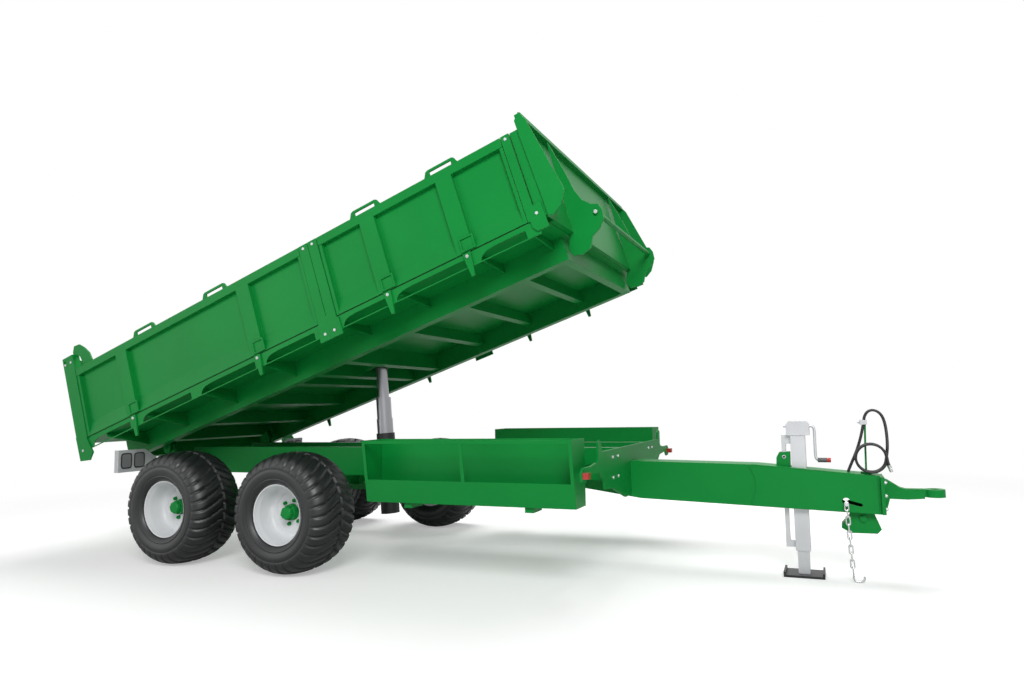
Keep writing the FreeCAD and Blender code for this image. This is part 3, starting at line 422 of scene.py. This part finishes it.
def step_up(value, low, high):
    """0 below a level, 1 above another, smooth between them."""
    t = min(1.0, max(0.0, (value - low) / (high - low)))
    return t * t * (3 - 2 * t)


def tyre(name, centre, body, node):
    """A balloon tyre whose lugs sweep from its crown down both shoulders."""
    rows = [(r, -y) for r, y in TYRE_SIDE] + [(r, y) for r, y in reversed(TYRE_SIDE)]
    count = LUGS * LUG_STEPS
    points, faces = [], []
    for i in range(count):
        turn = 2 * math.pi * i / count
        for r, y in rows:
            across = abs(y)
            side = -1 if y < 0 else 1
            swirl = LUG_SWIRL * (1 - min(1.0, across / 0.2)) ** 1.4
            phase = i / LUG_STEPS - swirl + (0.5 if side > 0 else 0.0)
            gap = abs(phase % 1.0 - 0.5) * 2
            lug = step_up(0.86 - gap, 0.0, 0.2) * step_up(r, *LUG_FROM)
            lug *= step_up(across, 0.004, 0.011)
            lift = LUG_HIGH * lug * step_up(r, 0.340, 0.425)
            lift = max(lift, 0.5 * LUG_HIGH * lug)
            out = Vector((r - 0.300, y * 0.75)).normalized()
            radius = r + out.x * lift
            wide = y + out.y * lift
            points.append((
                centre[0] + radius * math.cos(turn),
                centre[1] + max(-SIDE_LIMIT, min(SIDE_LIMIT, wide)),
                centre[2] + radius * math.sin(turn),
            ))
    height = len(rows)
    for i in range(count):
        a, b = i * height, ((i + 1) % count) * height
        for k in range(height):
            m = (k + 1) % height
            faces.append((a + k, a + m, b + m, b + k))
    return add_piece(name, points, faces, RUBBER, body, (node,), edge=50)


def rim_profile(out):
    """The rim's section: rolled lip, deep barrel and dished disc."""
    outer = [
        (0.2235, 0.176), (0.2240, 0.186), (0.2220, 0.1875), (0.2160, 0.1850), (0.2120, 0.176),
        (0.2105, 0.160), (0.2050, 0.152), (0.2030, 0.140), (0.2020, 0.080), (0.1960, 0.050),
        (0.1880, 0.036), (0.1760, 0.030), (0.1500, 0.0285), (0.1470, 0.0235), (0.1300, 0.0225),
        (0.0630, 0.0225), (0.0630, 0.0105), (0.1760, 0.0105), (0.1930, 0.0050),
        (0.1945, -0.1500), (0.2080, -0.1750), (0.2220, -0.1880), (0.2240, -0.1860),
        (0.2235, -0.1760), (0.2080, -0.1400), (0.2080, 0.1400),
    ]
    return [(r, out * y) for r, y in outer]


HUB_BARREL = (
    # radius and distance outwards of the hub and its flange
    (0.035, -0.190), (0.062, -0.190), (0.062, -0.004), (0.100, -0.002), (0.104, 0.009),
    (0.062, 0.0097), (0.062, 0.034), (0.058, 0.040), (0.057, 0.062), (0.050, 0.066),
)
HUB_CAP = (
    (0.049, 0.064), (0.049, 0.092), (0.043, 0.099), (0.030, 0.100), (0.0005, 0.100),
)
NUTS = 6
NUT_CIRCLE = 0.090
WHEEL_HIGH = 0.450
WHEELS = (
    # tag, along, across, side
    ("rear_right", -0.583, -1.035, -1),
    ("front_right", 0.583, -1.035, -1),
    ("rear_left", -0.583, 1.035, 1),
    ("front_left", 0.583, 1.035, 1),
)


def make_wheels():
    """Tyre, rim and hub of every wheel."""
    for tag, x, y, out in WHEELS:
        centre = (x - ORIGIN_AHEAD, y, WHEEL_HIGH)
        body = "wheel_" + tag
        tyre("tyre_look_" + tag, centre, body, "tyre_" + tag)
        points, faces = lathe(rim_profile(out), 96, centre, close=True)
        add_piece("rim_look_" + tag, points, faces, RIM, body, ("rim_" + tag,))
        groups = [
            lathe([(r, out * d) for r, d in HUB_BARREL], 48, centre),
            lathe([(r, out * d) for r, d in HUB_CAP], 8, centre),
        ]
        for k in range(NUTS):
            turn = 2 * math.pi * (k + 0.25) / NUTS
            spot = (
                centre[0] + NUT_CIRCLE * math.cos(turn),
                centre[1] + out * 0.0224,
                centre[2] + NUT_CIRCLE * math.sin(turn),
            )
            groups.append(stud(spot, (0, out, 0), 0.0155, 0.016, inner=0.0095))
        points, faces = join(groups)
        add_piece("hub_look_" + tag, points, faces, GREEN, body, ("hub_" + tag,))


# Chain: place of its top link, step from link to link, bend, straight and wire of a link
CHAIN_TOP = (4.433, -0.128, 0.4939)
CHAIN_STEP = (0.002, -0.0467)
CHAIN_LEAN = math.radians(-2.5)
LINKS = 10
LINK_POINTS = 28
LINK_BEND = 0.0118
LINK_STRAIGHT = 0.0168
LINK_WIRE = 0.0049
HOOK_WIRE = 0.0068
HOOK = (
    # along and up, from the last link round to the tip
    (4.452, 0.044), (4.451, 0.030), (4.457, 0.015), (4.472, 0.0085), (4.494, 0.0085),
    (4.508, 0.014), (4.516, 0.027), (4.517, 0.044),
)


def make_chain():
    """Round links in turn from the keyhole's bolt down to the hook."""
    along, across, high_up = CHAIN_TOP
    groups = []
    for index in range(LINKS):
        lean = CHAIN_LEAN if index else 0.0
        middle = Vector((
            along + CHAIN_STEP[0] * index - ORIGIN_AHEAD, across, high_up + CHAIN_STEP[1] * index
        ))
        path = []
        for k in range(LINK_POINTS):
            turn = 2 * math.pi * k / LINK_POINTS
            wide = LINK_BEND * math.cos(turn)
            straight = LINK_STRAIGHT if math.sin(turn) > 0 else -LINK_STRAIGHT
            high = LINK_BEND * math.sin(turn) + straight
            spot = Vector((wide, 0, high)) if index % 2 == 0 else Vector((0, wide, high))
            spot = Matrix.Rotation(lean, 3, "Y") @ spot
            path.append(middle + spot)
        groups.append(tube(path, LINK_WIRE, 10, closed=True))
    groups.append(tube([(x - ORIGIN_AHEAD, across, z) for x, z in HOOK], HOOK_WIRE, 12))
    bolt = (along - ORIGIN_AHEAD, 0.5083)
    groups.append(tube([(bolt[0], -0.071, bolt[1]), (bolt[0], -0.145, bolt[1])], 0.0088, 16))
    groups.append(stud((bolt[0], -0.145, bolt[1]), (0, -1, 0), 0.014, 0.0055))
    points, faces = join(groups)
    add_piece("chain_look", points, faces, CHROME, "chassis", ("safety_chain",))


# Jack: how far ahead of the wheels' middle it stands, heights of the crank's shaft and grip,
# half length and half width of its shoe, tops of the shoe's plate and lips
JACK_AHEAD = 4.145
CRANK_HIGH = 1.023
GRIP_HIGH = 0.787
GRIP_ENDS = 0.0145
GRIP_MIDDLE = 0.0158
GRIP_SIDES = 24
SHOE_HALF = (0.1325, 0.1075)
SHOE_LIP = 0.014
SHOE_TOPS = (0.0156, 0.036)


def make_crank():
    """The jack's cranked handle with its two-part grip."""
    x = JACK_AHEAD - ORIGIN_AHEAD
    path = [
        (x - 0.093, 0, CRANK_HIGH), (x + 0.085, 0, CRANK_HIGH), (x + 0.100, 0, 1.019),
        (x + 0.108, 0, 1.008), (x + 0.110, 0, 0.990), (x + 0.110, 0, 0.820),
        (x + 0.112, 0, 0.802), (x + 0.120, 0, 0.791), (x + 0.134, 0, GRIP_HIGH),
        (x + 0.200, 0, GRIP_HIGH),
    ]
    points, faces = tube(path, 0.0095, 16)
    add_piece("crank_look", points, faces, ZINC, "jack_crank", ("jack_crank",))
    for name, start, end, material in (
        ("crank_grip", 0.122, 0.184, GRIP),
        ("crank_grip_end", 0.184, 0.2075, CAP),
    ):
        profile = (
            (x + start, GRIP_ENDS), (x + start + 0.004, GRIP_MIDDLE),
            (x + end - 0.004, GRIP_MIDDLE), (x + end, GRIP_ENDS),
        )
        n = GRIP_SIDES
        points, faces = [], []
        for spot, radius in profile:
            for k in range(n):
                turn = 2 * math.pi * k / n
                points.append((
                    spot, radius * math.cos(turn), GRIP_HIGH + radius * math.sin(turn)
                ))
        for row in range(len(profile) - 1):
            for k in range(n):
                a, b = row * n + k, row * n + (k + 1) % n
                faces.append((a, b, b + n, a + n))
        faces.append(tuple(range(n)))
        faces.append(tuple(range((len(profile) - 1) * n, len(profile) * n)))
        add_piece(name, points, faces, material, "jack_crank")


def make_shoe():
    """The dark shoe under the jack's leg, with a raised lip at each end."""
    middle = JACK_AHEAD - ORIGIN_AHEAD
    long, wide = SHOE_HALF
    plate, lip = SHOE_TOPS
    groups = [block((middle - long, -wide, 0.0002), (middle + long, wide, plate))]
    for side in (-1, 1):
        ends = sorted((middle + side * (long - SHOE_LIP), middle + side * long))
        groups.append(block((ends[0], -wide, plate), (ends[1], wide, lip)))
    points, faces = join(groups)
    add_piece("jack_shoe", points, faces, BLACK, "jack_leg", smooth=False)


# Bolts: places along the bed and up from it, and those of the flange and the bolster
POST_BOLTS = (
    (-0.330, 0.905), (-0.255, 0.905), (2.456, 0.800), (2.544, 0.800), (4.232, 0.800),
    (2.456, 0.110), (2.544, 0.110), (-0.300, 0.105), (4.275, 0.235),
)
LATCH_BOLTS = (0.370, 1.795, 3.050, 3.720)
BRACKET_BOLTS = ((4.543, 0.244), (4.375, 0.500))
POST_FACE = 1.1915
LATCH_FACE = 1.1938
BRACKET_FACE = 0.750
FLANGE_FRONT = 4.669
BOLSTER_FRONT = 2.958


def make_fasteners():
    """Bolt heads and nuts on posts, ears, flange and brackets."""
    bed = []
    for side in (-1, 1):
        out = (0, side, 0)
        for u, w in POST_BOLTS:
            bed.append(stud(bed_point(u, side * POST_FACE, w), out, 0.012, 0.007))
        for u in LATCH_BOLTS:
            spot = bed_point(u, side * LATCH_FACE, 0.175)
            bed.append(stud(spot, out, 0.013, 0.007, inner=0.006))
        for u, w in BRACKET_BOLTS:
            bed.append(stud(bed_point(u, side * BRACKET_FACE, w), out, 0.015, 0.007))
    points, faces = join(bed)
    add_piece("bed_bolts", points, faces, ZINC, "bed", smooth=False)
    chassis = []
    front = FLANGE_FRONT - ORIGIN_AHEAD
    for y in (-0.105, 0.105):
        for z in (0.480, 0.566, 0.652):
            chassis.append(stud((front, y, z), (1, 0, 0), 0.013, 0.010, inner=0.007))
    for y in (-0.030, 0.030):
        chassis.append(stud((4.049 - ORIGIN_AHEAD, y, 0.810), (0, y, 0), 0.013, 0.005, sides=16))
    for y in (-0.560, -0.440, 0.440, 0.560):
        for z in (0.700, 0.840):
            spot = (BOLSTER_FRONT - ORIGIN_AHEAD, y, z)
            chassis.append(stud(spot, (1, 0, 0), 0.011, 0.008))
    points, faces = join(chassis)
    add_piece("chassis_bolts", points, faces, ZINC, "chassis", smooth=False)


# Rear lamps: front of their boards, places across, height, half sizes and roundness of a frame
BOARD_AHEAD = -1.290
LAMPS_ACROSS = (1.035, 0.915)
LAMP_HIGH = 0.812
LAMP_HALF = (0.046, 0.062)
LAMP_POWER = 0.35
LAMP_POINTS = 32
LAMP_INSIDE = 0.93


def rounded_side(part):
    """One coordinate of a rounded square's edge, from a sine or cosine."""
    return math.copysign(abs(part) ** LAMP_POWER, part)


def make_lamps():
    """Dark frames and grey backs of the rear lamps, seen on the front of their boards."""
    frames, backs = [], []
    x = BOARD_AHEAD - ORIGIN_AHEAD
    for side in (-1, 1):
        for y in LAMPS_ACROSS:
            middle = side * y
            ring = []
            for k in range(LAMP_POINTS):
                turn = 2 * math.pi * k / LAMP_POINTS
                wide = rounded_side(math.cos(turn)) * LAMP_HALF[0]
                high = rounded_side(math.sin(turn)) * LAMP_HALF[1]
                ring.append((x + 0.003, middle + wide, LAMP_HIGH + high))
            frames.append(tube(ring, 0.005, 8, closed=True))
            points = [
                (
                    x + 0.0035,
                    middle + (b - middle) * LAMP_INSIDE,
                    LAMP_HIGH + (c - LAMP_HIGH) * LAMP_INSIDE,
                )
                for a, b, c in ring
            ]
            points.append((x + 0.0055, middle, LAMP_HIGH))
            last = LAMP_POINTS
            backs.append((points, [(k, (k + 1) % last, last) for k in range(last)]))
    points, faces = join(frames)
    add_piece("lamp_frames", points, faces, BLACK, "chassis")
    points, faces = join(backs)
    add_piece("lamp_backs", points, faces, GLASS, "chassis")


# Seals: ends of each strip along the bed, its faces across and its lower and upper edge
SEAL_ENDS = ((-0.219, 2.409), (2.591, 4.194))
SEAL_ACROSS = (1.1725, 1.1765)
SEAL_HIGH = (0.1763, 0.2140)


def make_seals():
    """Dark strips that close the gaps between the drop sides and the bed's edge."""
    groups = []
    for side in (-1, 1):
        for ends in SEAL_ENDS:
            corners = []
            for u in ends:
                for across in SEAL_ACROSS:
                    for w in SEAL_HIGH:
                        corners.append(bed_point(u, side * across, w))
            faces = [(0, 1, 3, 2), (4, 6, 7, 5), (0, 4, 5, 1), (2, 3, 7, 6), (0, 2, 6, 4),
                     (1, 5, 7, 3)]
            groups.append((corners, faces))
    points, faces = join(groups)
    add_piece("edge_seals", points, faces, BLACK, "bed", smooth=False)


STEM_AHEAD = 4.568


def make_holder():
    """The green hose stem with its bright clamp."""
    x = STEM_AHEAD - ORIGIN_AHEAD
    groups = [
        tube([(x, 0, 0.703), (x + 0.004, 0, 0.880), (x + 0.010, 0, 1.052)], 0.0065, 14),
        ([(x - 0.033, -0.025, 0.7036), (x + 0.032, -0.025, 0.6981), (x + 0.032, 0.025, 0.6981),
          (x - 0.033, 0.025, 0.7036), (x - 0.033, -0.025, 0.713), (x + 0.032, -0.025, 0.708),
          (x + 0.032, 0.025, 0.708), (x - 0.033, 0.025, 0.713)],
         [(0, 3, 2, 1), (4, 5, 6, 7), (0, 1, 5, 4), (1, 2, 6, 5), (2, 3, 7, 6), (3, 0, 4, 7)]),
    ]
    points, faces = join(groups)
    add_piece("holder_stem", points, faces, GREEN, "chassis", ("hose_holder",))
    groups = [
        block((x - 0.018, -0.032, 1.030), (x + 0.022, -0.0065, 1.060)),
        block((x - 0.018, 0.0065, 1.030), (x + 0.022, 0.032, 1.060)),
        block((x - 0.022, -0.032, 1.028), (x - 0.018, 0.032, 1.062)),
        stud((x - 0.022, 0.0, 1.045), (-1, 0, 0), 0.009, 0.010, inner=0.005),
    ]
    points, faces = join(groups)
    add_piece("holder_clamp", points, faces, ZINC, "chassis", smooth=False)


# Hoses: where they leave the drawbar, the coil's middle, radius and drop across in each turn
HOSE_EXIT = (4.456, 0.7102)
HOSE_WIDE = 0.017
COIL_MIDDLE = (4.600, 0.808)
COIL_RADIUS = 0.095
COIL_DROP = 0.021
COIL_POINTS = 16
HOSE_TIP = (4.703, 0.765)
HOSES = (
    # name, side of the stem, turns of its coil, where the coil starts across, length
    ("hose_near", -0.020, 2, -0.058, 2.04),
    ("hose_far", 0.020, 1, -0.022, 1.45),
)


def make_hoses():
    """Two black hoses that rise through the clamp, come over and end in a loose coil."""
    for name, lane, turns, first, length in HOSES:
        route = [
            (HOSE_EXIT[0], lane, HOSE_EXIT[1]), (4.470, lane, 0.745), (4.520, lane, 0.857),
            (4.552, lane, 0.960), (4.570, lane, 1.046), (4.578, lane, 1.090),
            (4.604, lane, 1.124), (4.645, lane, 1.126), (4.682, lane, 1.096),
            (4.700, lane, 1.040), (4.706, (lane + first) / 2, 0.960), (4.704, first, 0.880),
            (4.697, first, 0.830),
        ]
        for k in range(1, COIL_POINTS * turns + 1):
            turn = -2 * math.pi * k / COIL_POINTS
            route.append((
                COIL_MIDDLE[0] + COIL_RADIUS * math.cos(turn),
                first - COIL_DROP * k / COIL_POINTS,
                COIL_MIDDLE[1] + COIL_RADIUS * math.sin(turn),
            ))
        side = route[-1][1]
        route.append((4.697, side, 0.785))
        route.append((HOSE_TIP[0], side, HOSE_TIP[1]))
        curve = bpy.data.curves.new(name, "CURVE")
        curve.dimensions = "3D"
        curve.bevel_depth = HOSE_WIDE / 2
        curve.bevel_resolution = 6
        line = curve.splines.new("NURBS")
        line.points.add(len(route) - 1)
        for spot, (x, y, z) in zip(line.points, route):
            spot.co = (x - ORIGIN_AHEAD, y, z, 1.0)
        line.order_u = 3
        line.use_endpoint_u = True
        line.resolution_u = 8
        curve.materials.append(BLACK)
        hose = bpy.data.objects.new(name, curve)
        bpy.context.scene.collection.objects.link(hose)
        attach(hose, "chassis")
        low = Vector((HOSE_TIP[0] - ORIGIN_AHEAD, side, HOSE_TIP[1]))
        along = Vector((0.006, 0, -0.020)).normalized()
        groups = [
            stud(low, along, 0.0125, 0.022),
            stud(low + along * 0.022, along, 0.0105, 0.024, sides=18),
        ]
        points, faces = join(groups)
        tip = add_piece(name + "_coupler", points, faces, CHROME, "chassis")


make_camera()
make_floor()
make_sky()
make_studio_lamps()
paint_nodes()
make_wheels()
make_chain()
make_crank()
make_shoe()
make_fasteners()
make_lamps()
make_seals()
make_holder()
make_hoses()
bpy.context.scene.view_settings.view_transform = "Standard"
